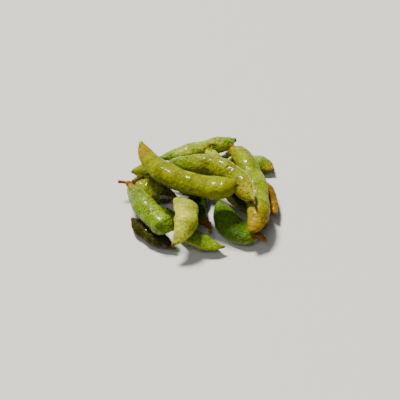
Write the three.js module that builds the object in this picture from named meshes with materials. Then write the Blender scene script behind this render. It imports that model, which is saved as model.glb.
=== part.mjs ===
import * as THREE from "three";

// A pile of boiled edamame pods. Lengths are in millimetres, +Z is up, and the pile stands on z = 0.

// One pod's mesh
const AROUND = 12;            // corners of each ring round a pod
const BODY_RINGS = 17;        // rings between the calyx and the beak

// Shape shared by every pod
const NECK = 1.5;             // radius where a pod leaves its calyx
const CALYX = 2.0;            // widest radius of the calyx
const STALK = 0.75;           // radius of the stalk
const KNOB = 1.0;             // radius of the stub left on a pod with no stalk
const STUB = 1.5;             // length of that stub
const CUP = 2.4;              // length of the calyx
const POINT = 1.1;            // radius where a pod runs out into its beak
const BEAK = 0.45;            // radius of the beak's point
const BLUNT = 0.56;           // 0.5 gives elliptical ends and 1 gives pointed ones
const HOOK = 0.45;            // how far the ends lie towards the upper seam, as a share of the missing width
const SEED_SPAN = 0.36;       // half-length of a seed's swelling, as a share of the seed spacing
const SEED_FREE = 0.6;        // share of each tapered end that holds no seed

// How the pods lie
const GAP = 0.3;              // air left between a pod and the ones it lies on
const FLAT = 0.8;             // how far the pods on the ground are flattened under their weight
const CELL = 0.4;             // cell of the height map that the pods are dropped on
const FINE_RINGS = 150;       // sample rings along a pod for the height map
const FINE_AROUND = 64;       // samples round each of them

// Colours of the pods
const TONES = { green: 0x5f8526, lime: 0xa3ad45, olive: 0x8f8f24, dark: 0x4a5418, golden: 0xa3822a };

// The pods, lowest first. Stem, bow and tip are points on the pod's middle line. Their heights only
// give its slope, because each pod is lowered until it rests on the ground or on the pods before it.
// Lean is the turn of its broad side in degrees, at the stem and at the tip. Taper is the length in which
// each of those ends fills out. Waist and level are the width and the thickness between two seeds, as
// shares of those over one.
// Stalk runs from the stem end to the stalk's cut end, and beak is a length.
const PODS = [
  { name: "pod_left_base", tone: "dark", stem: [-37, -15, 4], bow: [-29, -27, 4], tip: [-16, -36, 4],
    lean: [0, 0], width: 12.5, thick: 8, taper: [10, 14], seeds: 2, waist: 0.92, level: 0.8,
    stalk: null, beak: 2 },
  { name: "pod_front", tone: "green", stem: [-14, -23, 4], bow: [-1, -34, 4], tip: [10, -37, 4],
    lean: [15, 15], width: 12, thick: 9, taper: [10, 14], seeds: 2, waist: 0.92, level: 0.8,
    stalk: null, beak: 2 },
  { name: "pod_left_dark", tone: "dark", stem: [-41, 13, 4], bow: [-30, 9, 4], tip: [-17, 0, 4],
    lean: [160, 160], width: 14, thick: 9, taper: [14, 10], seeds: 2, waist: 0.92, level: 0.76,
    stalk: [6, 6, 3], beak: 1 },
  { name: "pod_left_back", tone: "olive", stem: [-9, 26, 4], bow: [-26, 28, 4], tip: [-40, 24, 4],
    lean: [0, 0], width: 12, thick: 9, taper: [12, 8], seeds: 2, waist: 0.92, level: 0.76,
    stalk: null, beak: 1 },
  { name: "pod_right_base", tone: "golden", stem: [18, 12, 4], bow: [29, -6, 4], tip: [35, -21, 4],
    lean: [0, 0], width: 10, thick: 8, taper: [12, 12], seeds: 2, waist: 0.92, level: 0.76,
    stalk: null, beak: 2 },
  { name: "pod_right_tip", tone: "golden", stem: [33, 18, 4], bow: [37, 2, 4], tip: [42, -12, 4],
    lean: [0, 0], width: 10, thick: 8, taper: [12, 20], seeds: 2, waist: 0.92, level: 0.8,
    stalk: null, beak: 2 },
  { name: "pod_back_right", tone: "lime", stem: [2, 35, 4], bow: [24, 35, 4], tip: [42, 30, 4],
    lean: [0, 0], width: 13, thick: 9, taper: [14, 10], seeds: 3, waist: 0.92, level: 0.7,
    stalk: null, beak: 1 },
  { name: "pod_back", tone: "lime", stem: [19, 44, 12], bow: [-1, 38, 12], tip: [-24, 29, 11],
    lean: [0, 0], width: 12, thick: 9, taper: [8, 14], seeds: 2, waist: 0.85, level: 0.7,
    stalk: null, beak: 1 },
  { name: "pod_front_right", tone: "green", stem: [29, -33, 5], bow: [17, -25, 6], tip: [7, -3, 5],
    lean: [25, 25], width: 15, thick: 11, taper: [20, 14], seeds: 2, waist: 0.95, level: 0.85,
    stalk: [3, -3, 0], beak: 2 },
  { name: "pod_middle", tone: "green", stem: [0.6, -20, 4], bow: [-3.6, -5.5, 4], tip: [1, 9, 4],
    lean: [0, 0], width: 11.6, thick: 9, taper: [14, 9], seeds: 2, waist: 0.92, level: 0.8,
    stalk: [1, -6, 0], beak: 2 },
  { name: "pod_left_under", tone: "dark", stem: [-36, -3, 4], bow: [-25, -10.3, 4], tip: [-12.5, -14.5, 4],
    lean: [0, 0], width: 11, thick: 8, taper: [10, 10], seeds: 2, waist: 0.92, level: 0.8,
    stalk: null, beak: 1 },
  { name: "pod_right_under", tone: "dark", stem: [11, 6, 4], bow: [17.5, -4, 4], tip: [25, -15, 4],
    lean: [0, 0], width: 8, thick: 7, taper: [12, 12], seeds: 1, waist: 0.92, level: 0.8,
    stalk: null, beak: 1 },
  { name: "pod_centre_under", tone: "dark", stem: [-14, 22, 4], bow: [-5, 20, 4], tip: [4, 16, 4],
    lean: [0, 0], width: 11, thick: 9, taper: [9, 9], seeds: 1, waist: 0.92, level: 0.8,
    stalk: null, beak: 1 },
  { name: "pod_back_under", tone: "dark", stem: [14, 17, 4], bow: [20, 22, 4], tip: [30, 24, 4],
    lean: [0, 0], width: 10, thick: 8, taper: [9, 9], seeds: 1, waist: 0.92, level: 0.8,
    stalk: null, beak: 1 },
  { name: "pod_core", tone: "dark", stem: [-24, 12, 13], bow: [-12, 5, 13], tip: [-3, -5, 13],
    lean: [0, 0], width: 11, thick: 9, taper: [10, 10], seeds: 2, waist: 0.92, level: 0.8,
    stalk: null, beak: 1 },
  { name: "pod_left_front", tone: "green", stem: [-43, 6, 8], bow: [-29, -21, 13], tip: [-18, -33, 9],
    lean: [150, 150], width: 13, thick: 9, taper: [18, 10], seeds: 3, waist: 0.95, level: 0.8,
    stalk: [-5, 1, 1], beak: 1 },
  { name: "pod_back_stub", tone: "lime", stem: [4, 32, 20], bow: [8, 23, 15], tip: [14, 14, 9],
    lean: [0, 0], width: 11, thick: 9, taper: [10, 12], seeds: 1, waist: 0.92, level: 0.85,
    stalk: [4, 2, 0], beak: 2 },
  { name: "pod_centre_front", tone: "lime", stem: [-13, -10, 12], bow: [-9, -28, 15], tip: [-14, -44, 8],
    lean: [10, 10], width: 14, thick: 10, taper: [10, 16], seeds: 2, waist: 0.85, level: 0.7,
    stalk: null, beak: 1 },
  { name: "pod_right_long", tone: "lime", stem: [19, 37, 13], bow: [30, 0, 14], tip: [28, -35, 11],
    lean: [10, 0], width: 13, thick: 10, taper: [9, 14], seeds: 3, waist: 0.88, level: 0.7,
    stalk: [-7, -3, -2], beak: 1 },
  { name: "pod_top_ridge", tone: "olive", stem: [-21, 18, 12], bow: [10, 8, 20], tip: [26, -19, 19],
    lean: [135, 135], width: 13, thick: 10, taper: [18, 12], seeds: 3, waist: 0.92, level: 0.74,
    stalk: null, beak: 3 },
  { name: "pod_top_front", tone: "olive", stem: [-38, 28, 20.5], bow: [-16, -1, 20], tip: [18, -16, 25],
    lean: [180, 180], width: 15, thick: 12, taper: [36, 6], seeds: 3, waist: 0.95, level: 0.86,
    stalk: null, beak: 0.8 },
];

const mix = (a, b, t) => a + (b - a) * t;
const clamp = (x, lo, hi) => Math.min(hi, Math.max(lo, x));

// How full the pod is at share u of its length: 0 at both ends and 1 along the middle.
function fullness(pod, u) {
  const stem = clamp((u * pod.length) / pod.taper[0], 0, 1);
  const tip = clamp(((1 - u) * pod.length) / pod.taper[1], 0, 1);
  return ((1 - (1 - stem) ** 2) * (1 - (1 - tip) ** 2)) ** BLUNT;
}

// How near share u is to the middle of a seed: 1 over a seed and near 0 between two.
function swell(pod, u) {
  const first = (SEED_FREE * pod.taper[0]) / pod.length;
  const last = 1 - (SEED_FREE * pod.taper[1]) / pod.length;
  const step = (last - first) / pod.seeds;
  let sum = 0;
  for (let i = 0; i < pod.seeds; i += 1) {
    const middle = first + step * (i + 0.5);
    sum += Math.exp(-(((u - middle) / (SEED_SPAN * step)) ** 2));
  }
  return Math.min(1, sum);
}

// Half-width, half-thickness and sideways shift of the cross-section at share u.
// Below 0 lie the calyx and the stalk, and above 1 lies the beak.
function section(pod, u) {
  if (u < 0) {
    const back = -u * pod.length;
    const cup = clamp(1 - Math.abs(back - CUP / 3) / (CUP * 0.67), 0, 1);
    const radius = pod.stalk ? mix(STALK, CALYX, cup * (2 - cup)) : mix(NECK, KNOB, back / STUB);
    return { wide: radius, thick: radius, shift: HOOK * (pod.width / 2 - NECK) };
  }
  const full = fullness(pod, Math.min(u, 1));
  const seed = swell(pod, u);
  const end = u < 0.5 ? NECK : mix(POINT, BEAK, clamp(((u - 1) * pod.length) / pod.beak, 0, 1));
  const wide = Math.hypot(end, (pod.width / 2) * full * mix(pod.waist, 1, seed));
  const thick = Math.hypot(end * 0.9, (pod.thick / 2) * full * mix(pod.level, 1, seed));
  return { wide, thick, shift: HOOK * (1 - full) * (pod.width / 2 - NECK) };
}

// A point on the curve from a through the pull of b to c, and the direction of the curve there.
function curve(a, b, c, t) {
  const point = a.clone().multiplyScalar((1 - t) ** 2);
  point.addScaledVector(b, 2 * t * (1 - t)).addScaledVector(c, t ** 2);
  const along = a.clone().multiplyScalar(t - 1);
  along.addScaledVector(b, 1 - 2 * t).addScaledVector(c, t).normalize();
  return { point, along };
}

// A point on the pod's skin: share u along it, angle v round it from the upper seam.
function skin(pod, u, v) {
  const onStalk = u < 0 && pod.stalk;
  const { point, along } = onStalk
    ? curve(pod.stalkEnd, pod.stalkPull, pod.stem, 1 + (u * pod.length) / pod.reach)
    : curve(pod.stem, pod.bend, pod.tip, u);
  const side = new THREE.Vector3().crossVectors(along, new THREE.Vector3(0, 0, 1)).normalize();
  const over = new THREE.Vector3().crossVectors(side, along);
  const lean = THREE.MathUtils.degToRad(mix(pod.lean[0], pod.lean[1], clamp(u, 0, 1)));
  const broad = side.clone().multiplyScalar(Math.cos(lean)).addScaledVector(over, Math.sin(lean));
  const face = side.multiplyScalar(-Math.sin(lean)).addScaledVector(over, Math.cos(lean));
  const cut = section(pod, u);
  return point
    .addScaledVector(broad, cut.shift + cut.wide * Math.cos(v))
    .addScaledVector(face, cut.thick * Math.sin(v));
}

// Shares along the pod at which its rings lie, from the stalk's cut end to the beak's point.
function rings(pod, count) {
  const backs = pod.stalk ? [pod.reach, mix(CUP, pod.reach, 0.5), CUP, 1.5, 0.7] : [STUB, 0.7];
  const shares = backs.map((back) => -back / pod.length);
  for (let i = 0; i < count; i += 1) {
    const t = i / (count - 1);
    shares.push(0.004 + 0.996 * mix(t, (1 - Math.cos(Math.PI * t)) / 2, 0.7));
  }
  shares.push(1 + (pod.beak * 0.5) / pod.length, 1 + pod.beak / pod.length);
  return shares;
}

// The closed mesh of one pod, with its underside flattened where it would go below the ground.
function podGeometry(pod) {
  const shares = rings(pod, BODY_RINGS);
  const points = [];
  for (const u of shares) {
    for (let j = 0; j < AROUND; j += 1) {
      points.push(skin(pod, u, (2 * Math.PI * j) / AROUND));
    }
  }
  const first = points.length;
  const rim = (k) => points.slice(k * AROUND, (k + 1) * AROUND);
  for (const k of [0, shares.length - 1]) {
    const middle = new THREE.Vector3();
    rim(k).forEach((point) => middle.addScaledVector(point, 1 / AROUND));
    points.push(middle);
  }
  const faces = [];
  for (let j = 0; j < AROUND; j += 1) {
    const next = (j + 1) % AROUND;
    for (let k = 0; k + 1 < shares.length; k += 1) {
      const a = k * AROUND + j;
      const b = k * AROUND + next;
      faces.push(a, b + AROUND, b, a, a + AROUND, b + AROUND);
    }
    const last = (shares.length - 1) * AROUND;
    faces.push(first, j, next, first + 1, last + next, last + j);
  }
  const geometry = new THREE.BufferGeometry();
  const flat = points.flatMap((p) => [p.x, p.y, Math.max(0, p.z + pod.drop)]);
  geometry.setAttribute("position", new THREE.Float32BufferAttribute(flat, 3));
  geometry.setIndex(faces);
  geometry.computeVertexNormals();
  return geometry;
}

// Lowers each pod in turn on to a height map of the ground and of the pods already down.
const ground = new Map();
const key = (x, y) => `${Math.round(x / CELL)},${Math.round(y / CELL)}`;
const FLOOR = -FLAT - GAP;

function settle(pod) {
  const shares = rings(pod, FINE_RINGS);
  const samples = [];
  for (const u of shares) {
    for (let j = 0; j < FINE_AROUND; j += 1) {
      samples.push(skin(pod, u, (2 * Math.PI * j) / FINE_AROUND));
    }
  }
  let clearance = Infinity;
  for (const p of samples) {
    let top = FLOOR;
    for (let i = -1; i <= 1; i += 1) {
      for (let j = -1; j <= 1; j += 1) {
        top = Math.max(top, ground.get(key(p.x + i * CELL, p.y + j * CELL)) ?? FLOOR);
      }
    }
    clearance = Math.min(clearance, p.z - top);
  }
  pod.drop = GAP - clearance;
  for (const p of samples) {
    const cell = key(p.x, p.y);
    ground.set(cell, Math.max(ground.get(cell) ?? FLOOR, p.z + pod.drop));
  }
}

function preparePod(entry) {
  const [stem, bow, tip] = [entry.stem, entry.bow, entry.tip].map((p) => new THREE.Vector3(...p));
  const bend = bow.clone().multiplyScalar(2).addScaledVector(stem, -0.5).addScaledVector(tip, -0.5);
  const length = stem.distanceTo(bow) + bow.distanceTo(tip);
  const pod = { ...entry, stem, bow, tip, bend, length, drop: 0 };
  if (entry.stalk) {
    const run = new THREE.Vector3(...entry.stalk);
    pod.reach = run.length();
    pod.stalkEnd = stem.clone().add(run);
    pod.stalkPull = stem.clone().addScaledVector(bend.clone().sub(stem).normalize(), -pod.reach / 2);
  }
  return pod;
}

const group = new THREE.Group();
group.name = "edamame_pod_bundle";
for (const entry of PODS) {
  const pod = preparePod(entry);
  settle(pod);
  const material = new THREE.MeshStandardMaterial({ color: TONES[pod.tone], roughness: 0.45 });
  const mesh = new THREE.Mesh(podGeometry(pod), material);
  mesh.name = pod.name;
  group.add(mesh);
}

// The pile's bounding box is centred over the origin.
const box = new THREE.Box3().setFromObject(group);
const centre = box.getCenter(new THREE.Vector3());
for (const mesh of group.children) {
  mesh.geometry.translate(-centre.x, -centre.y, -box.min.z);
}

export default group;
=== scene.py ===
# A heap of boiled edamame pods on a pale table. Shapes are worked out in millimetres, in the heap's own
# coordinates, and are made in metres where the frame has them. Colours are linear.
import math

import bpy
import numpy as np
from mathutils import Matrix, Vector


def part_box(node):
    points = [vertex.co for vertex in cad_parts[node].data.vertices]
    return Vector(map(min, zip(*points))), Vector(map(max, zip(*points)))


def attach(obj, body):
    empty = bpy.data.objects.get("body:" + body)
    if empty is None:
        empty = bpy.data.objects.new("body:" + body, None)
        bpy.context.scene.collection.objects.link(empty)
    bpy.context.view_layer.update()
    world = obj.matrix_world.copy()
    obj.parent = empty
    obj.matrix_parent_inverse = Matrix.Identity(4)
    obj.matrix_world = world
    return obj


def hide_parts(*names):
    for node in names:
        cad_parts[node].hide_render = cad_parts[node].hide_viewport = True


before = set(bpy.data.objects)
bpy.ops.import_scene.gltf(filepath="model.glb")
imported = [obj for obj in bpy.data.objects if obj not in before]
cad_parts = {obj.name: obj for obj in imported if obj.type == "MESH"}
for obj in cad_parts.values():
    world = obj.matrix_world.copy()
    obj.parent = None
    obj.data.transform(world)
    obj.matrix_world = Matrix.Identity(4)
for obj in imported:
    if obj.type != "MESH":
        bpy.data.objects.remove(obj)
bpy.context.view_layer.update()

MM = 0.001

# Shape shared by every pod
NECK = 1.5                    # radius where a pod leaves its calyx
CALYX = 1.8                   # widest radius of the calyx
SOLID_CALYX = 2.0             # the same on the solids
CUP = 2.4                     # length of the calyx
STALK = 0.75                  # radius of the stalk
KNOB = 1.0                    # radius of the stub left on a pod with no stalk
STUB = 1.5                    # length of that stub
POINT = 1.1                   # radius where a pod runs out into its beak
BEAK = 0.45                   # radius of the beak's point
END_THICK = 0.9               # thickness of the ends of the body, as a share of their width
BLUNT = 0.56                  # 0.5 gives elliptical ends and 1 gives pointed ones
HOOK = 0.45                   # how far the ends lie towards the upper seam, as a share of the lost width
SEED_SPAN = 0.36              # half-length of a seed's swelling, as a share of the seed spacing
SEED_FREE = 0.6               # share of each tapered end that holds no seed
LENS = 0.12                   # how much the section thins towards its seams
LENS_RUN = 0.1                # share of the length over which that thinning sets in at each end

# Relief on the skin
RIDGE = 0.16                  # height of the upper seam
LOWER_RIDGE = 0.6             # height of the lower seam, as a share of that
RIDGE_HALF = 0.55             # half-width of a seam
GROOVE = 0.14                 # depth of the groove along the upper seam
GROOVE_HALF = 0.2             # half-width of that groove
HOLLOW = 0.15                 # depth of the broad hollows
DENT = 0.03                   # depth of the small hollows
CREASE = 0.14                 # depth of the wrinkles
CREASE_WIDTH = 0.9            # width of the wrinkles, in units of the unevenness that they come from
NET = 0.09                    # depth of the net of fine creases
NET_WIDTH = 0.45              # width of those creases, in the same units
PEBBLE = 0.03                 # height of the fine pebbling
SEAM_FADE = 4.0               # added off the body to the distance from a seam, to end its colour there

# Mean wavelengths of the unevenness that the relief comes from
HOLLOW_WAVE = 13
DENT_WAVE = 5
PATCH_WAVE = 16               # patches of wrinkles
CREASE_WAVE = 4.6
NET_WAVE = 5.5
PEBBLE_WAVE = 2.3

# Relief on the calyx and the stalk
LOBES = 5
LOBE = 0.16                   # thickness of a lobe
LOBE_REACH = 3.6              # how far the lobes run over the pod
LOBE_ROOT = 0.1               # how far the calyx runs over it between two lobes, as a share of that
LOBE_CURL = 0.28              # how far their ends stand off the skin
CUT_RIM = 0.15                # how far the cut end of the stalk spreads

# Fine mesh of each pod
AROUND = 96
BODY_RINGS = 190
STALK_RINGS = 16
CUP_RINGS = 12
BEAK_RINGS = 8
FIRST_RING = 0.002            # share along the body of its first ring
RING_CROWD = 0.45             # how far the rings are drawn towards both ends of the body
SEAM_CROWD = 0.2              # how far the points of a ring are drawn towards the seams, in radians
NECK_GAP = 0.15               # from the last ring of the calyx or stub to the body

# Coarse mesh of each pod's solid
SOLID_AROUND = 12
SOLID_RINGS = 17
SOLID_FIRST_RING = 0.004
SOLID_RING_CROWD = 0.7
SOLID_NECK_RINGS = (1.5, 0.7) # how far before the body the rings next to it lie

FIRST_SEED = 100              # each pod draws its random numbers from ten seeds of its own
SEEDS_A_POD = 10

# The same pods as the solids, lowest first. Stem, bow and tip are points on a pod's middle line. Lean is
# the turn of its broad side in degrees, at the stem and at the tip. Taper is the length in which each of
# those ends fills out. Waist and level are the width and the thickness between two seeds, as shares of
# those over one. Stalk runs from the stem end to the stalk's cut end, and beak is a length.
PODS = {
    "pod_left_base": dict(stem=(-37, -15, 4), bow=(-29, -27, 4), tip=(-16, -36, 4), lean=(0, 0),
                          width=12.5, thick=8, taper=(10, 14), seeds=2, waist=0.92, level=0.8,
                          stalk=None, beak=2),
    "pod_front": dict(stem=(-14, -23, 4), bow=(-1, -34, 4), tip=(10, -37, 4), lean=(15, 15),
                      width=12, thick=9, taper=(10, 14), seeds=2, waist=0.92, level=0.8,
                      stalk=None, beak=2),
    "pod_left_dark": dict(stem=(-41, 13, 4), bow=(-30, 9, 4), tip=(-17, 0, 4), lean=(160, 160),
                          width=14, thick=9, taper=(14, 10), seeds=2, waist=0.92, level=0.76,
                          stalk=(6, 6, 3), beak=1),
    "pod_left_back": dict(stem=(-9, 26, 4), bow=(-26, 28, 4), tip=(-40, 24, 4), lean=(0, 0),
                          width=12, thick=9, taper=(12, 8), seeds=2, waist=0.92, level=0.76,
                          stalk=None, beak=1),
    "pod_right_base": dict(stem=(18, 12, 4), bow=(29, -6, 4), tip=(35, -21, 4), lean=(0, 0),
                           width=10, thick=8, taper=(12, 12), seeds=2, waist=0.92, level=0.76,
                           stalk=None, beak=2),
    "pod_right_tip": dict(stem=(33, 18, 4), bow=(37, 2, 4), tip=(42, -12, 4), lean=(0, 0),
                          width=10, thick=8, taper=(12, 20), seeds=2, waist=0.92, level=0.8,
                          stalk=None, beak=2),
    "pod_back_right": dict(stem=(2, 35, 4), bow=(24, 35, 4), tip=(42, 30, 4), lean=(0, 0),
                           width=13, thick=9, taper=(14, 10), seeds=3, waist=0.92, level=0.7,
                           stalk=None, beak=1),
    "pod_back": dict(stem=(19, 44, 12), bow=(-1, 38, 12), tip=(-24, 29, 11), lean=(0, 0),
                     width=12, thick=9, taper=(8, 14), seeds=2, waist=0.85, level=0.7,
                     stalk=None, beak=1),
    "pod_front_right": dict(stem=(29, -33, 5), bow=(17, -25, 6), tip=(7, -3, 5), lean=(25, 25),
                            width=15, thick=11, taper=(20, 14), seeds=2, waist=0.95, level=0.85,
                            stalk=(3, -3, 0), beak=2),
    "pod_middle": dict(stem=(0.6, -20, 4), bow=(-3.6, -5.5, 4), tip=(1, 9, 4), lean=(0, 0),
                       width=11.6, thick=9, taper=(14, 9), seeds=2, waist=0.92, level=0.8,
                       stalk=(1, -6, 0), beak=2),
    "pod_left_under": dict(stem=(-36, -3, 4), bow=(-25, -10.3, 4), tip=(-12.5, -14.5, 4), lean=(0, 0),
                           width=11, thick=8, taper=(10, 10), seeds=2, waist=0.92, level=0.8,
                           stalk=None, beak=1),
    "pod_right_under": dict(stem=(11, 6, 4), bow=(17.5, -4, 4), tip=(25, -15, 4), lean=(0, 0),
                            width=8, thick=7, taper=(12, 12), seeds=1, waist=0.92, level=0.8,
                            stalk=None, beak=1),
    "pod_centre_under": dict(stem=(-14, 22, 4), bow=(-5, 20, 4), tip=(4, 16, 4), lean=(0, 0),
                             width=11, thick=9, taper=(9, 9), seeds=1, waist=0.92, level=0.8,
                             stalk=None, beak=1),
    "pod_back_under": dict(stem=(14, 17, 4), bow=(20, 22, 4), tip=(30, 24, 4), lean=(0, 0),
                           width=10, thick=8, taper=(9, 9), seeds=1, waist=0.92, level=0.8,
                           stalk=None, beak=1),
    "pod_core": dict(stem=(-24, 12, 13), bow=(-12, 5, 13), tip=(-3, -5, 13), lean=(0, 0),
                     width=11, thick=9, taper=(10, 10), seeds=2, waist=0.92, level=0.8,
                     stalk=None, beak=1),
    "pod_left_front": dict(stem=(-43, 6, 8), bow=(-29, -21, 13), tip=(-18, -33, 9), lean=(150, 150),
                           width=13, thick=9, taper=(18, 10), seeds=3, waist=0.95, level=0.8,
                           stalk=(-5, 1, 1), beak=1),
    "pod_back_stub": dict(stem=(4, 32, 20), bow=(8, 23, 15), tip=(14, 14, 9), lean=(0, 0),
                          width=11, thick=9, taper=(10, 12), seeds=1, waist=0.92, level=0.85,
                          stalk=(4, 2, 0), beak=2),
    "pod_centre_front": dict(stem=(-13, -10, 12), bow=(-9, -28, 15), tip=(-14, -44, 8), lean=(10, 10),
                             width=14, thick=10, taper=(10, 16), seeds=2, waist=0.85, level=0.7,
                             stalk=None, beak=1),
    "pod_right_long": dict(stem=(19, 37, 13), bow=(30, 0, 14), tip=(28, -35, 11), lean=(10, 0),
                           width=13, thick=10, taper=(9, 14), seeds=3, waist=0.88, level=0.7,
                           stalk=(-7, -3, -2), beak=1),
    "pod_top_ridge": dict(stem=(-21, 18, 12), bow=(10, 8, 20), tip=(26, -19, 19), lean=(135, 135),
                          width=13, thick=10, taper=(18, 12), seeds=3, waist=0.92, level=0.74,
                          stalk=None, beak=3),
    "pod_top_front": dict(stem=(-38, 28, 20.5), bow=(-16, -1, 20), tip=(18, -16, 25), lean=(180, 180),
                          width=15, thick=12, taper=(36, 6), seeds=3, waist=0.95, level=0.86,
                          stalk=None, beak=0.8),
}

# Colours of the skin
# painted shade: a near-black green for pods that lie in the shadow of others
PAINTED_SHADE_GREEN = (0.010, 0.040, 0.002)
LEAF = (0.050, 0.125, 0.004)
FRESH = (0.105, 0.225, 0.002)
LIME = (0.210, 0.290, 0.003)
PALE = (0.360, 0.440, 0.035)
OLIVE = (0.180, 0.190, 0.0003)
OCHRE = (0.225, 0.152, 0.0003)
MOSS = (0.050, 0.050, 0.001)
# painted shade: a near-black olive for a pod that lies in the shadow of others
PAINTED_SHADE_OLIVE = (0.022, 0.020, 0.0005)
STRAW = (0.340, 0.280, 0.010)
GOLD = (0.290, 0.155, 0.0005)
AMBER = (0.200, 0.085, 0.008)
CREAM = (0.560, 0.470, 0.200)
# painted light: a pale butter yellow that lightens a pod on the sides which face away from the lamp
PAINTED_LIGHT_BUTTER = (0.490, 0.515, 0.045)
BARK = (0.085, 0.030, 0.006)
TAN = (0.225, 0.092, 0.018)
SCAR = (0.150, 0.100, 0.022)
HORN = (0.090, 0.045, 0.010)

# How each pod is coloured: at the stem end, along the middle, at the tip end, along the seams, and in
# the small flecks. Husk is the colour of its calyx, or of the scar that the calyx left. Flecks is how
# strongly it is flecked, wet is how much of it carries a film of water, and sheen is how much the dry
# skin reflects.
LOOKS = {
    # painted shade: pod_left_base is near-black all over, for the shadow that it lies in
    "pod_left_base": dict(stem=PAINTED_SHADE_OLIVE, middle=PAINTED_SHADE_OLIVE, tip=PAINTED_SHADE_OLIVE, seam=MOSS, fleck=MOSS, husk=SCAR,
                          flecks=0.3, wet=0.3, sheen=0.06),
    "pod_front": dict(stem=LEAF, middle=FRESH, tip=FRESH, seam=STRAW, fleck=LIME, husk=SCAR,
                      flecks=0.8, wet=1.0, sheen=0.10),
    "pod_left_dark": dict(stem=OLIVE, middle=OLIVE, tip=MOSS, seam=MOSS, fleck=LIME, husk=BARK,
                          flecks=0.8, wet=1.0, sheen=0.10),
    "pod_left_back": dict(stem=LEAF, middle=OLIVE, tip=OLIVE, seam=STRAW, fleck=FRESH, husk=SCAR,
                          flecks=0.3, wet=0.4, sheen=0.10),
    # painted shade: the dark ends of pod_right_base stand for the shadow of the pods over them; its
    # golden middle is its own colour
    "pod_right_base": dict(stem=MOSS, middle=GOLD, tip=MOSS, seam=STRAW, fleck=AMBER, husk=SCAR,
                           flecks=0.4, wet=0.7, sheen=0.06),
    "pod_right_tip": dict(stem=GOLD, middle=GOLD, tip=GOLD, seam=GOLD, fleck=AMBER, husk=SCAR,
                          flecks=0.4, wet=0.4, sheen=0.05),
    "pod_back_right": dict(stem=LIME, middle=FRESH, tip=GOLD, seam=GOLD, fleck=PALE, husk=SCAR,
                           flecks=0.7, wet=0.7, sheen=0.14),
    "pod_back": dict(stem=FRESH, middle=LIME, tip=FRESH, seam=LIME, fleck=PALE, husk=LEAF,
                     flecks=0.6, wet=0.4, sheen=0.20),
    # partly painted shade: the middle and tip of pod_front_right are its own deep green, darkened further
    # for the shade it lies in
    "pod_front_right": dict(stem=OLIVE, middle=LEAF, tip=LEAF, seam=LIME, fleck=FRESH, husk=TAN,
                            flecks=0.8, wet=1.0, sheen=0.06),
    # painted shade: the dark middle and tip of pod_middle stand for the shadow of the pods over it; its
    # stem end keeps its own green
    "pod_middle": dict(stem=FRESH, middle=PAINTED_SHADE_GREEN, tip=PAINTED_SHADE_GREEN, seam=LEAF, fleck=LEAF, husk=TAN,
                       flecks=0.4, wet=0.8, sheen=0.06),
    # painted shade: pod_left_under to pod_core are very dark, so that the gaps between the pods over them
    # read as shadow
    "pod_left_under": dict(stem=PAINTED_SHADE_GREEN, middle=MOSS, tip=PAINTED_SHADE_GREEN, seam=MOSS, fleck=LEAF, husk=BARK,
                           flecks=0.4, wet=0.8, sheen=0.06),
    "pod_right_under": dict(stem=MOSS, middle=MOSS, tip=MOSS, seam=MOSS, fleck=LEAF, husk=BARK,
                            flecks=0.4, wet=1.0, sheen=0.06),
    "pod_centre_under": dict(stem=PAINTED_SHADE_GREEN, middle=PAINTED_SHADE_GREEN, tip=PAINTED_SHADE_GREEN, seam=MOSS, fleck=LEAF, husk=BARK,
                             flecks=0.4, wet=0.8, sheen=0.06),
    "pod_back_under": dict(stem=LEAF, middle=MOSS, tip=LEAF, seam=MOSS, fleck=LEAF, husk=BARK,
                           flecks=0.4, wet=0.6, sheen=0.06),
    "pod_core": dict(stem=PAINTED_SHADE_GREEN, middle=PAINTED_SHADE_GREEN, tip=PAINTED_SHADE_GREEN, seam=MOSS, fleck=LEAF, husk=BARK,
                     flecks=0.4, wet=0.8, sheen=0.06),
    "pod_left_front": dict(stem=OLIVE, middle=FRESH, tip=FRESH, seam=OLIVE, fleck=LIME, husk=TAN,
                           flecks=1.0, wet=0.7, sheen=0.20),
    "pod_back_stub": dict(stem=PALE, middle=LIME, tip=LEAF, seam=PALE, fleck=PALE, husk=OLIVE,
                          flecks=0.4, wet=0.4, sheen=0.20),
    # painted light: pod_centre_front is paler than its skin, for light on its front and lower end, which
    # face away from the lamp
    "pod_centre_front": dict(stem=PALE, middle=PAINTED_LIGHT_BUTTER, tip=PAINTED_LIGHT_BUTTER, seam=STRAW, fleck=LIME, husk=SCAR,
                             flecks=0.6, wet=0.3, sheen=0.16),
    "pod_right_long": dict(stem=OLIVE, middle=LIME, tip=GOLD, seam=GOLD, fleck=LIME, husk=TAN,
                           flecks=0.8, wet=0.4, sheen=0.13),
    "pod_top_ridge": dict(stem=FRESH, middle=OLIVE, tip=STRAW, seam=CREAM, fleck=LIME, husk=SCAR,
                          flecks=0.9, wet=0.6, sheen=0.09),
    "pod_top_front": dict(stem=OCHRE, middle=OLIVE, tip=OLIVE, seam=OLIVE, fleck=LIME, husk=CREAM,
                          flecks=0.5, wet=0.4, sheen=0.04),
}


# Shape ----------------------------------------------------------------------------------------------

def mix(a, b, t):
    """a where t is 0, b where t is 1, and evenly between them."""
    return a + (b - a) * t


def smooth(start, end, x):
    """0 up to start, 1 past end, and 3t^2 - 2t^3 between them, whichever of the two is larger."""
    t = np.clip((x - start) / (end - start), 0, 1)
    return t * t * (3 - 2 * t)


def peak(values, width):
    """1 where the values are 0, falling evenly to 0 where they are as large as width."""
    return np.clip(1 - np.abs(values) / width, 0, 1)


def unit(vectors):
    """The vectors made one unit long."""
    return vectors / np.linalg.norm(vectors, axis=-1, keepdims=True)


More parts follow.
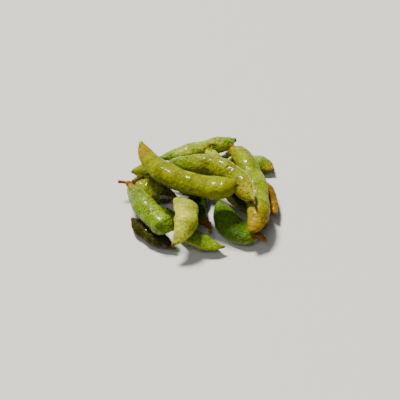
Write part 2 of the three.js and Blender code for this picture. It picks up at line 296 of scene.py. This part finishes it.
def prepared(entry):
    """A pod's table entry with its points as arrays, the pulls of its two curves, and its length."""
    pod = dict(entry, calyx=CALYX, reach=STUB)
    stem, bow, tip = (np.array(entry[key], float) for key in ("stem", "bow", "tip"))
    pod["stem"], pod["tip"] = stem, tip
    pod["bend"] = 2 * bow - 0.5 * stem - 0.5 * tip
    pod["length"] = float(np.linalg.norm(bow - stem) + np.linalg.norm(tip - bow))
    if pod["stalk"]:
        run = np.array(pod["stalk"], float)
        pod["reach"] = float(np.linalg.norm(run))
        pod["stalk_end"] = stem + run
        pod["stalk_pull"] = stem - unit(pod["bend"] - stem) * pod["reach"] / 2
    return pod


def fullness(pod, u):
    """1 along the middle and 0 at both ends: each end fills out as 1 - (1 - a)^2 over its taper."""
    stem = np.clip(u * pod["length"] / pod["taper"][0], 0, 1)
    tip = np.clip((1 - u) * pod["length"] / pod["taper"][1], 0, 1)
    return ((1 - (1 - stem) ** 2) * (1 - (1 - tip) ** 2)) ** BLUNT


def swell(pod, u):
    """A bell curve over the middle of each seed, with the seeds evenly spaced between the tapers."""
    first = SEED_FREE * pod["taper"][0] / pod["length"]
    last = 1 - SEED_FREE * pod["taper"][1] / pod["length"]
    step = (last - first) / pod["seeds"]
    middles = first + step * (np.arange(pod["seeds"]) + 0.5)
    bells = np.exp(-((u[..., None] - middles) / (SEED_SPAN * step)) ** 2)
    return np.minimum(1, bells.sum(axis=-1))


def section(pod, u):
    """Half-width, half-thickness and sideways shift at share u: calyx and stalk below 0, beak above 1.
    Along the body, each half is the root of the end's radius squared plus the filled-out half squared.
    The calyx is widest a third of the way along it."""
    back = -u * pod["length"]
    if pod["stalk"]:
        cup = peak(back - CUP / 3, CUP * 0.67)
        radius = mix(STALK, pod["calyx"], cup * (2 - cup))
    else:
        radius = mix(NECK, KNOB, back / STUB)
    full = fullness(pod, np.clip(u, 0, 1))
    seed = swell(pod, u)
    past = np.clip((u - 1) * pod["length"] / pod["beak"], 0, 1)
    end = np.where(u < 0.5, NECK, mix(POINT, BEAK, past))
    wide = np.hypot(end, pod["width"] / 2 * full * mix(pod["waist"], 1, seed))
    thick = np.hypot(end * END_THICK, pod["thick"] / 2 * full * mix(pod["level"], 1, seed))
    hook = HOOK * (pod["width"] / 2 - NECK)
    behind = u < 0
    shift = np.where(behind, hook, hook * (1 - full))
    return np.where(behind, radius, wide), np.where(behind, radius, thick), shift


def bezier(a, b, c, t):
    """The curve from a through the pull of b to c, and its direction."""
    t = t[..., None]
    point = a * (1 - t) ** 2 + b * 2 * t * (1 - t) + c * t ** 2
    return point, unit(a * (t - 1) + b * (1 - 2 * t) + c * t)


def skin(pod, u, v, lens=0.0):
    """Points of the pod at share u along it and angle v round it from the upper seam: the middle line,
    plus an ellipse across it, thinned towards its seams by lens. Also its half-thickness there."""
    point, along = bezier(pod["stem"], pod["bend"], pod["tip"], u)
    if pod["stalk"]:
        t = 1 + u * pod["length"] / pod["reach"]
        stalk_point, stalk_along = bezier(pod["stalk_end"], pod["stalk_pull"], pod["stem"], t)
        behind = (u < 0)[..., None]
        point = np.where(behind, stalk_point, point)
        along = np.where(behind, stalk_along, along)
    side = unit(np.cross(along, (0.0, 0.0, 1.0)))
    over = np.cross(side, along)
    lean = np.radians(mix(pod["lean"][0], pod["lean"][1], np.clip(u, 0, 1)))[..., None]
    broad = side * np.cos(lean) + over * np.sin(lean)
    face = over * np.cos(lean) - side * np.sin(lean)
    wide, thick, shift = section(pod, u)
    thinned = smooth(0, LENS_RUN, u) * smooth(0, LENS_RUN, 1 - u) * lens
    height = thick * np.sin(v) * np.abs(np.sin(v)) ** thinned
    points = point + broad * (shift + wide * np.cos(v))[..., None] + face * height[..., None]
    return points, thick


def body_shares(rings, first, crowd):
    """Shares along the body of its rings, from first to 1: even steps t blended by crowd with
    (1 - cos(pi t)) / 2, which brings them closer together at both ends."""
    t = np.linspace(0, 1, rings)
    return first + (1 - first) * mix(t, (1 - np.cos(np.pi * t)) / 2, crowd)


def solid_corner(pod):
    """The highest corner of the box round the pod's solid, worked out from the solid's own rings."""
    pod = dict(pod, calyx=SOLID_CALYX)
    reach, length = pod["reach"], pod["length"]
    behind = (STUB, SOLID_NECK_RINGS[-1])
    if pod["stalk"]:
        behind = (reach, (CUP + reach) / 2, CUP, *SOLID_NECK_RINGS)
    ahead = np.array([0.5, 1]) * pod["beak"] / length
    body = body_shares(SOLID_RINGS, SOLID_FIRST_RING, SOLID_RING_CROWD)
    u = np.concatenate([-np.array(behind) / length, body, 1 + ahead])
    v = 2 * np.pi * np.arange(SOLID_AROUND) / SOLID_AROUND
    points, _ = skin(pod, *np.meshgrid(u, v, indexing="ij"))
    return points.reshape(-1, 3).max(axis=0)


def to_frame(name):
    """How far the pod moves from the heap's own millimetres to lie where the frame has its solid. Along x
    and y it is the same for every pod."""
    corner = np.array(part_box(name)[1]) / MM
    return corner - solid_corner(prepared(PODS[name]))


# Relief ---------------------------------------------------------------------------------------------

def waves(points, wavelength, seed, count=16):
    """Smooth unevenness of about unit size: a sum of plane waves with random directions and phases."""
    rng = np.random.default_rng(seed)
    ways = unit(rng.normal(size=(count, 3)))
    lengths = wavelength * rng.uniform(0.75, 1.35, (count, 1))
    phases = rng.uniform(0, 2 * np.pi, count)
    return np.sin(points @ (ways * 2 * np.pi / lengths).T + phases).sum(axis=-1) / math.sqrt(count / 2)


def calyx_relief(pod, x, v, seed):
    """How far the calyx and the stalk stand out at x mm along the pod, and a mask of them: lobes where
    the cosine round the pod is large, which curl up at their ends, fibres along the stalk as sine waves
    round it, and the rim of its cut end."""
    turn = np.abs(np.cos(LOBES / 2 * v + seed))
    lobe = smooth(0, 0.35, LOBE_REACH * mix(LOBE_ROOT, 1, turn ** 1.6) - x)
    leaf = LOBE * smooth(-CUP - 0.4, -CUP + 0.8, x) + LOBE_CURL * smooth(1.6, 3.2, x) * lobe
    fibres = 0.06 * np.sin(9 * v + 1.3 * np.sin(x)) + 0.05 * np.sin(4 * v + 0.8 * x)
    rim = CUT_RIM * smooth(-pod["reach"] + 1.0, -pod["reach"], x)
    return leaf * lobe + fibres * smooth(0.2, -0.8, x) + rim, lobe


def relief(pod, u, v, points, thick, seed):
    """How far the skin stands out in mm, and masks for the material. Ridges on both seams, with a groove
    in the upper one, broad and small hollows, wrinkles between the seeds, near the ends and in patches,
    a net of fine creases, pebbling, and the calyx. Wrinkles and net lie where an unevenness crosses 0."""
    x = u * pod["length"]
    body = smooth(-0.2, 1.2, x) * smooth(-0.5, 1.5, pod["length"] - x)
    seam = thick * np.abs(np.sin(v))
    upper = smooth(-0.3, 0.3, np.cos(v))
    ridge = RIDGE * mix(LOWER_RIDGE, 1, upper) * np.exp(-(seam / RIDGE_HALF) ** 2)
    groove = GROOVE * upper * np.exp(-(seam / GROOVE_HALF) ** 2)
    hollows = HOLLOW * (waves(points, HOLLOW_WAVE, seed) - 1.4)
    dents = DENT * (waves(points, DENT_WAVE, seed + 1) - 1.2)
    patch = smooth(0.2, 1.4, waves(points, PATCH_WAVE, seed + 2))
    wrinkled = np.clip(0.7 * (1 - swell(pod, u)) ** 2 + 0.5 * patch, 0, 1) * smooth(0.4, 2.0, seam)
    across = np.stack([x * 0.9, seam * 0.35, np.zeros_like(x)], axis=-1) + 0.25 * points
    fold = peak(waves(across, CREASE_WAVE, seed + 3, 10), CREASE_WIDTH) ** 2 * wrinkled
    net = peak(waves(points, NET_WAVE, seed + 4, 24), NET_WIDTH) ** 1.5 * smooth(0.3, 1.2, seam)
    pebbles = waves(points, PEBBLE_WAVE, seed + 5, 32) - 1
    out = body * (ridge - groove + hollows + dents - CREASE * fold - NET * net + PEBBLE * pebbles)
    if pod["stalk"]:
        raised, husk = calyx_relief(pod, x, v, seed)
        out = out + raised
    else:
        husk = smooth(0.4, -0.5, x)
    beak = smooth(pod["length"] - 1.2, pod["length"] + 0.4 * pod["beak"], x)
    # fold also marks where the material paints shade into the wrinkles
    masks = dict(along=np.clip(u, 0, 1), seam=seam + SEAM_FADE * (1 - body), husk=husk,
                 fold=fold * body, beak=beak)
    return out, masks


# Meshes ---------------------------------------------------------------------------------------------

def fine_shares(pod):
    """Shares along the pod of its fine rings, from the cut end of the stalk to the beak's point."""
    length = pod["length"]
    behind = np.linspace(STUB, NECK_GAP, CUP_RINGS)
    if pod["stalk"]:
        stalk = np.linspace(pod["reach"], CUP + 0.3, STALK_RINGS)
        behind = np.concatenate([stalk, np.linspace(CUP, NECK_GAP, CUP_RINGS)])
    body = body_shares(BODY_RINGS, FIRST_RING, RING_CROWD)
    ahead = 1 + pod["beak"] * np.linspace(0.12, 1, BEAK_RINGS) / length
    return np.concatenate([-behind / length, body, ahead])


def pod_surface(pod, seed):
    """The pod's fine grid of points in the heap's own millimetres, rings by points round a ring, with
    its masks: the smooth skin moved along its normals by the relief."""
    t = 2 * np.pi * np.arange(AROUND) / AROUND
    u, v = np.meshgrid(fine_shares(pod), t - SEAM_CROWD * np.sin(2 * t), indexing="ij")
    points, thick = skin(pod, u, v, LENS)
    out, masks = relief(pod, u, v, points, thick, seed)
    along = np.gradient(points, axis=0)
    across = np.roll(points, -1, axis=1) - np.roll(points, 1, axis=1)
    normal = unit(np.cross(across, along))
    middle = points.mean(axis=1, keepdims=True)
    normal *= np.sign((normal * (points - middle)).sum(-1).mean())
    return points + normal * out[..., None], masks


def with_caps(grid):
    """The grid as a list of points, with the middles of its first and last rings added."""
    flat = grid.reshape(-1, grid.shape[-1])
    return np.concatenate([flat, grid[:1].mean(axis=1), grid[-1:].mean(axis=1)])


def closed_faces(rows, around):
    """Faces, turned outwards, of a tube of rows x around points, with a fan on each of its ends round a
    point added after them."""
    i, j = np.meshgrid(np.arange(rows - 1), np.arange(around), indexing="ij")
    k = (j + 1) % around
    quads = np.stack([i * around + k, (i + 1) * around + k, (i + 1) * around + j, i * around + j], -1)
    j = np.arange(around)
    k = (j + 1) % around
    first_cap = rows * around
    last_ring = (rows - 1) * around
    start = np.stack([k, j, np.full(around, first_cap)], -1)
    end = np.stack([last_ring + j, last_ring + k, np.full(around, first_cap + 1)], -1)
    return quads.reshape(-1, 4), np.concatenate([start, end])


def mesh_object(name, points, quads, triangles, masks):
    """A smooth-shaded object of those points in metres, with each mask as a float attribute."""
    mesh = bpy.data.meshes.new(name)
    corners = np.concatenate([quads.ravel(), triangles.ravel()]).astype(np.int32)
    sizes = np.concatenate([np.full(len(quads), 4), np.full(len(triangles), 3)])
    starts = np.concatenate([[0], np.cumsum(sizes)[:-1]]).astype(np.int32)
    mesh.vertices.add(len(points))
    mesh.vertices.foreach_set("co", points.astype(np.float32).ravel())
    mesh.loops.add(len(corners))
    mesh.loops.foreach_set("vertex_index", corners)
    mesh.polygons.add(len(sizes))
    mesh.polygons.foreach_set("loop_start", starts)
    mesh.update(calc_edges=True)
    mesh.validate()
    mesh.polygons.foreach_set("use_smooth", np.ones(len(mesh.polygons), bool))
    for key, values in masks.items():
        attribute = mesh.attributes.new(key, "FLOAT", "POINT")
        attribute.data.foreach_set("value", values.astype(np.float32).ravel())
    piece = bpy.data.objects.new(name, mesh)
    bpy.context.scene.collection.objects.link(piece)
    return piece


def make_pod(name, seed):
    """The pod's visible piece, moved to where the frame has its solid and kept above the table."""
    grid, masks = pod_surface(prepared(PODS[name]), seed)
    points = with_caps(grid + to_frame(name))
    points[:, 2] = np.maximum(points[:, 2], 0)
    quads, triangles = closed_faces(*grid.shape[:2])
    flat = {key: with_caps(values[..., None])[:, 0] for key, values in masks.items()}
    return mesh_object("skin_" + name, points * MM, quads, triangles, flat)


# Materials ------------------------------------------------------------------------------------------

# Inputs of the skin's node group, and what each of them is called in LOOKS
COLOUR_INPUTS = {"Stem Colour": "stem", "Middle Colour": "middle", "Tip Colour": "tip",
                 "Seam Colour": "seam", "Fleck Colour": "fleck", "Husk Colour": "husk"}
AMOUNT_INPUTS = {"Flecks": "flecks", "Wet": "wet"}

PATTERN_STEP = 37.0           # mm from one pod's place in the patterns to the next one's

# Shares along the pod over which the stem's colour gives way to the middle's, and that to the tip's
STEM_TO_MIDDLE = (0.075, 0.25)
MIDDLE_TO_TIP = (0.70, 0.92)

# Fineness of the skin's patterns, as cells to a millimetre
CLOUDS = 0.085                # wander of the borders between the colours of stem, middle and tip
PATCHES = 0.16                # broad patches of the flecks' colour
SHADES = 0.12                 # lighter and darker areas
GRAINS = 0.75                 # light flecks and dark grains
SPOTS = 0.42                  # brown spots
FIBRES = 0.9                  # fibres of the husk
POOLS = 0.30                  # films of water
MATTNESS = 0.5                # duller and shinier areas of the dry skin
VEINS = 0.24
VEIN_BENDS = 0.35
SWELLS = 0.48                 # broad bumps
DOMES = 0.8                   # small round bumps
GRIT = 1.9                    # the finest bumps

# Heights of the bumps in mm
SWELL_HEIGHT = 0.80
DOME_HEIGHT = 0.05
GRIT_HEIGHT = 0.06
FIBRE_HEIGHT = 0.12
VEIN_HEIGHT = 0.08

FILM_COAT = 0.38              # coat weight of a film of water
FILM_SHINE = 0.20             # how much less rough the skin is under it
HUSK_ROUGH = 0.3              # how much rougher the husk is than the skin


def rgba(colour):
    """The colour with full opacity added."""
    return (*colour, 1.0)


class Nodes:
    """Short ways to add and join nodes in one tree. Those that work something out take sockets or plain
    values, and return an output socket."""

    def __init__(self, tree):
        self.tree = tree

    def add(self, kind, **settings):
        """A new node with those settings."""
        node = self.tree.nodes.new(kind)
        for key, value in settings.items():
            setattr(node, key, value)
        return node

    def feed(self, socket, value):
        """Joins the input socket to another socket, or sets it to a plain value."""
        if isinstance(value, bpy.types.NodeSocket):
            self.tree.links.new(value, socket)
        else:
            socket.default_value = value

    def fed(self, node, *values):
        """The node with its first inputs fed with the values, in order."""
        for socket, value in zip(node.inputs, values):
            self.feed(socket, value)
        return node

    def plus(self, a, b):
        return self.fed(self.add("ShaderNodeMath", operation="ADD"), a, b).outputs[0]

    def minus(self, a, b):
        return self.fed(self.add("ShaderNodeMath", operation="SUBTRACT"), a, b).outputs[0]

    def times(self, a, b):
        return self.fed(self.add("ShaderNodeMath", operation="MULTIPLY"), a, b).outputs[0]

    def scaled(self, vector, factor):
        """The vector or colour times a single factor."""
        node = self.fed(self.add("ShaderNodeVectorMath", operation="SCALE"), vector)
        self.feed(node.inputs["Scale"], factor)
        return node.outputs[0]

    def moved(self, vector, distance):
        """The vector with the distance added to it."""
        return self.fed(self.add("ShaderNodeVectorMath", operation="ADD"), vector, distance).outputs[0]

    def ramp(self, value, start, end, low=0.0, high=1.0):
        """low where the value is start, high where it is end, and a smooth step between them."""
        node = self.add("ShaderNodeMapRange", interpolation_type="SMOOTHSTEP")
        return self.fed(node, value, start, end, low, high).outputs[0]

    def blend(self, factor, a, b):
        """Colour a where the factor is 0 and colour b where it is 1."""
        node = self.add("ShaderNodeMix", data_type="RGBA")
        for index, value in ((0, factor), (6, a), (7, b)):
            self.feed(node.inputs[index], value)
        return node.outputs[2]

    def paint(self, colour, over, mask, most):
        """The colour painted over with another where the mask is 1, in a share of it that is most."""
        return self.blend(self.times(mask, most), colour, over)

    def noise(self, vector, fineness, detail=2.0, rough=0.5, distort=0.0):
        """Cloudy noise from 0 to 1."""
        node = self.add("ShaderNodeTexNoise")
        for name, value in (("Vector", vector), ("Scale", fineness), ("Detail", detail),
                            ("Roughness", rough), ("Distortion", distort)):
            self.feed(node.inputs[name], value)
        return node.outputs[0]

    def bent(self, vector, fineness, reach):
        """The vector moved about by cloudy noise, up to reach along each axis."""
        noise = self.add("ShaderNodeTexNoise")
        self.feed(noise.inputs["Vector"], vector)
        self.feed(noise.inputs["Scale"], fineness)
        node = self.add("ShaderNodeVectorMath", operation="MULTIPLY_ADD")
        return self.fed(node, noise.outputs["Color"], (reach, reach, reach), vector).outputs[0]

    def cells(self, vector, fineness, feature):
        """Distance from the middles or the edges of irregular cells."""
        node = self.add("ShaderNodeTexVoronoi", feature=feature)
        self.feed(node.inputs["Vector"], vector)
        self.feed(node.inputs["Scale"], fineness)
        return node.outputs["Distance"]

    def mask(self, name):
        """One of the masks that the mesh carries."""
        return self.add("ShaderNodeAttribute", attribute_name=name).outputs["Fac"]


def ripe_colour(n, mm, given):
    """The colours of stem, middle and tip along the pod, with broad patches of the flecks' colour and
    with lighter and darker areas."""
    clouds = n.noise(mm, CLOUDS, detail=3.0, rough=0.55)
    along = n.plus(n.mask("along"), n.times(n.minus(clouds, 0.5), 0.5))
    colour = n.blend(n.ramp(along, *STEM_TO_MIDDLE), given["Stem Colour"], given["Middle Colour"])
    colour = n.blend(n.ramp(along, *MIDDLE_TO_TIP), colour, given["Tip Colour"])
    patches = n.ramp(n.noise(mm, PATCHES, detail=4.0, rough=0.6, distort=0.4), 0.42, 0.68)
    colour = n.paint(colour, given["Fleck Colour"], patches, most=0.45)
    return n.scaled(colour, n.ramp(n.noise(mm, SHADES), 0.35, 0.65, low=0.66, high=1.15))


def marked_colour(n, mm, given, colour, husk, fibres, vein):
    """The colour with flecks, dark grains, seams, painted shade in the creases and brown spots, and over
    them the husk, the beak and faint veins."""
    grains = n.noise(mm, GRAINS, rough=0.6)
    flecks = n.times(n.ramp(grains, 0.53, 0.60), given["Flecks"])
    colour = n.paint(colour, given["Fleck Colour"], flecks, most=0.8)
    dark_grains = n.times(n.ramp(grains, 0.46, 0.37), given["Flecks"])
    colour = n.paint(colour, rgba(MOSS), dark_grains, most=0.72)
    colour = n.paint(colour, given["Seam Colour"], n.ramp(n.mask("seam"), 1.2, 0.35), most=0.85)
    # painted shade: darker in the wrinkles, where shade falls
    colour = n.paint(colour, rgba(MOSS), n.mask("fold"), most=0.35)
    spots = n.ramp(n.noise(mm, SPOTS, detail=5.0, rough=0.7), 0.67, 0.76)
    colour = n.paint(colour, rgba(AMBER), spots, most=0.55)
    bark = n.paint(given["Husk Colour"], rgba(BARK), n.ramp(fibres, 0.55, 0.30), most=0.65)
    colour = n.blend(husk, colour, bark)
    colour = n.paint(colour, rgba(HORN), n.mask("beak"), most=0.85)
    return n.paint(colour, given["Seam Colour"], vein, most=0.12)


def water(n, mm, wet, husk):
    """Roughness, and coat weight of the film of water, which lies in pools that grow with wet."""
    shore = n.minus(0.58, n.times(wet, 0.25))
    pools = n.noise(mm, POOLS, detail=4.0, rough=0.65, distort=0.5)
    film = n.times(n.ramp(pools, shore, n.plus(shore, 0.14)), n.minus(1.0, husk))
    dry = n.ramp(n.noise(mm, MATTNESS, detail=3.0), 0.3, 0.7, low=0.36, high=0.52)
    rough = n.minus(n.plus(dry, n.times(husk, HUSK_ROUGH)), n.times(film, FILM_SHINE))
    return rough, n.times(film, FILM_COAT)


def bumps(n, mm, husk, fibres, vein):
    """Height in mm of the fine relief: broad bumps, grit, domes that fall away from the middles of
    cells, fibres on the husk, and veins."""
    height = n.times(n.noise(mm, SWELLS, detail=4.0, rough=0.58), SWELL_HEIGHT)
    for layer, most in ((n.noise(mm, GRIT), GRIT_HEIGHT), (n.cells(mm, DOMES, "SMOOTH_F1"), -DOME_HEIGHT),
                        (n.times(fibres, husk), FIBRE_HEIGHT), (vein, VEIN_HEIGHT)):
        height = n.plus(height, n.times(layer, most))
    return height


def pod_skin_group():
    """Colour, roughness, wet film and fine relief of a pod's skin. Its patterns are in the object's own
    coordinates, in millimetres and moved by Shift, and in the masks that the mesh carries."""
    tree = bpy.data.node_groups.new("pod_skin", "ShaderNodeTree")
    for where, kind, names in (("INPUT", "NodeSocketColor", COLOUR_INPUTS),
                               ("INPUT", "NodeSocketFloat", (*AMOUNT_INPUTS, "Shift")),
                               ("OUTPUT", "NodeSocketColor", ("Colour",)),
                               ("OUTPUT", "NodeSocketFloat", ("Roughness", "Film", "Height"))):
        for name in names:
            tree.interface.new_socket(name=name, in_out=where, socket_type=kind)
    n = Nodes(tree)
    given = n.add("NodeGroupInput").outputs
    place = n.add("ShaderNodeTexCoord").outputs["Object"]
    mm = n.moved(n.scaled(place, 1 / MM), given["Shift"])
    husk = n.mask("husk")
    fibres = n.noise(mm, FIBRES, detail=3.0, rough=0.6, distort=0.6)
    edges = n.cells(n.bent(mm, VEIN_BENDS, reach=2.2), VEINS, "DISTANCE_TO_EDGE")
    vein = n.times(n.ramp(edges, 0.07, 0.0), n.minus(1.0, husk))
    colour = marked_colour(n, mm, given, ripe_colour(n, mm, given), husk, fibres, vein)
    rough, film = water(n, mm, given["Wet"], husk)
    height = bumps(n, mm, husk, fibres, vein)
    result = n.add("NodeGroupOutput").inputs
    for name, value in (("Colour", colour), ("Roughness", rough), ("Film", film), ("Height", height)):
        n.feed(result[name], value)
    return tree


def pod_material(name, look, number, group):
    """One pod's skin: the shared group with this pod's colours, under a clear wet coat."""
    material = bpy.data.materials.new("skin_" + name)
    material.use_nodes = True
    tree = material.node_tree
    tree.nodes.clear()
    n = Nodes(tree)
    pattern = n.add("ShaderNodeGroup", node_tree=group)
    for socket, key in COLOUR_INPUTS.items():
        pattern.inputs[socket].default_value = rgba(look[key])
    for socket, key in AMOUNT_INPUTS.items():
        pattern.inputs[socket].default_value = look[key]
    pattern.inputs["Shift"].default_value = PATTERN_STEP * number
    bump = n.add("ShaderNodeBump")
    bump.inputs["Distance"].default_value = MM
    bump.inputs["Strength"].default_value = 1.0
    n.feed(bump.inputs["Height"], pattern.outputs["Height"])
    shader = n.add("ShaderNodeBsdfPrincipled")
    for socket, value in (("Base Color", pattern.outputs["Colour"]),
                          ("Roughness", pattern.outputs["Roughness"]),
                          ("Coat Weight", pattern.outputs["Film"]),
                          ("Normal", bump.outputs[0]),
                          ("Specular IOR Level", look["sheen"]),
                          ("Specular Tint", rgba((1.0, 1.0, 0.4))),
                          ("Coat Roughness", 0.14),
                          ("Subsurface Weight", 0.1),
                          ("Subsurface Radius", (0.8, 1.0, 0.25)),
                          ("Subsurface Scale", 1.2 * MM)):
        n.feed(shader.inputs[socket], value)
    n.feed(n.add("ShaderNodeOutputMaterial").inputs["Surface"], shader.outputs[0])
    return material


def plain_material(name, colour, roughness):
    """An even colour with that roughness."""
    material = bpy.data.materials.new(name)
    material.use_nodes = True
    shader = material.node_tree.nodes["Principled BSDF"]
    shader.inputs["Base Color"].default_value = rgba(colour)
    shader.inputs["Roughness"].default_value = roughness
    return material


# The heap -------------------------------------------------------------------------------------------

group = pod_skin_group()
for number, name in enumerate(PODS):
    piece = make_pod(name, FIRST_SEED + SEEDS_A_POD * number)
    piece.data.materials.append(pod_material(name, LOOKS[name], number, group))
    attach(piece, "root")
    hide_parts(name)


# Table, lights and camera ---------------------------------------------------------------------------

TABLE_HALF = 12.0             # half the table's side in metres, past the edges of every view
TABLE_DROP = 0.0001           # metres from the lowest pods down to the table
TABLE_GREY = (0.585, 0.590, 0.600)
TABLE_ROUGHNESS = 0.7
SKY = (0.9, 0.95, 1.0)
SKY_STRENGTH = 0.10

# The camera looks down by its elevation at a point given in the heap's own millimetres
ELEVATION = math.radians(41)
DISTANCE = 700.0
AIM = np.array((-1.71, 2.244, 2.581))
MM_PER_PIXEL = 0.57
FRAME_PIXELS = 400
SENSOR = 36.0
NEAREST = 0.01                # metres from the camera to the nearest thing that it shows


def make_table():
    """A flat square under the pods."""
    sides = ((-1, -1), (1, -1), (1, 1), (-1, 1))
    corners = [(x * TABLE_HALF, y * TABLE_HALF, -TABLE_DROP) for x, y in sides]
    mesh = bpy.data.meshes.new("table")
    mesh.from_pydata(corners, [], [(0, 1, 2, 3)])
    mesh.materials.append(plain_material("table_top", TABLE_GREY, TABLE_ROUGHNESS))
    table = bpy.data.objects.new("table", mesh)
    bpy.context.scene.collection.objects.link(table)
    return table


def far_lamp(name, toward, width, strength, colour):
    """A distant round lamp in that direction, width degrees across, which lights the table evenly."""
    data = bpy.data.lights.new(name, "SUN")
    data.angle = math.radians(width)
    data.energy = strength
    data.color = colour
    lamp = bpy.data.objects.new(name, data)
    bpy.context.scene.collection.objects.link(lamp)
    lamp.location = toward
    lamp.rotation_euler = (-Vector(toward)).to_track_quat("-Z", "Y").to_euler()


def make_world():
    """A faint even light from all sides."""
    world = bpy.data.worlds.new("studio")
    bpy.context.scene.world = world
    world.use_nodes = True
    background = world.node_tree.nodes["Background"]
    background.inputs["Color"].default_value = rgba(SKY)
    background.inputs["Strength"].default_value = SKY_STRENGTH


def make_camera():
    """A camera whose lens makes one pixel as wide as MM_PER_PIXEL at the point that it looks at."""
    data = bpy.data.cameras.new("camera")
    data.sensor_width = SENSOR
    data.lens = SENSOR * DISTANCE / (MM_PER_PIXEL * FRAME_PIXELS)
    data.clip_start = NEAREST
    camera = bpy.data.objects.new("camera", data)
    bpy.context.scene.collection.objects.link(camera)
    aim = AIM + to_frame("pod_top_front") * (1, 1, 0)
    forward = np.array((0.0, math.cos(ELEVATION), -math.sin(ELEVATION)))
    camera.location = (aim - forward * DISTANCE) * MM
    camera.rotation_euler = (math.pi / 2 - ELEVATION, 0, 0)
    bpy.context.scene.camera = camera


table = make_table()
far_lamp("window", toward=(-0.29, 0.45, 0.82), width=14, strength=7.9, colour=(1.0, 0.95, 0.82))
far_lamp("front", toward=(-0.25, -0.45, 0.70), width=40, strength=0.8, colour=(1.0, 0.98, 0.95))
make_world()
make_camera()
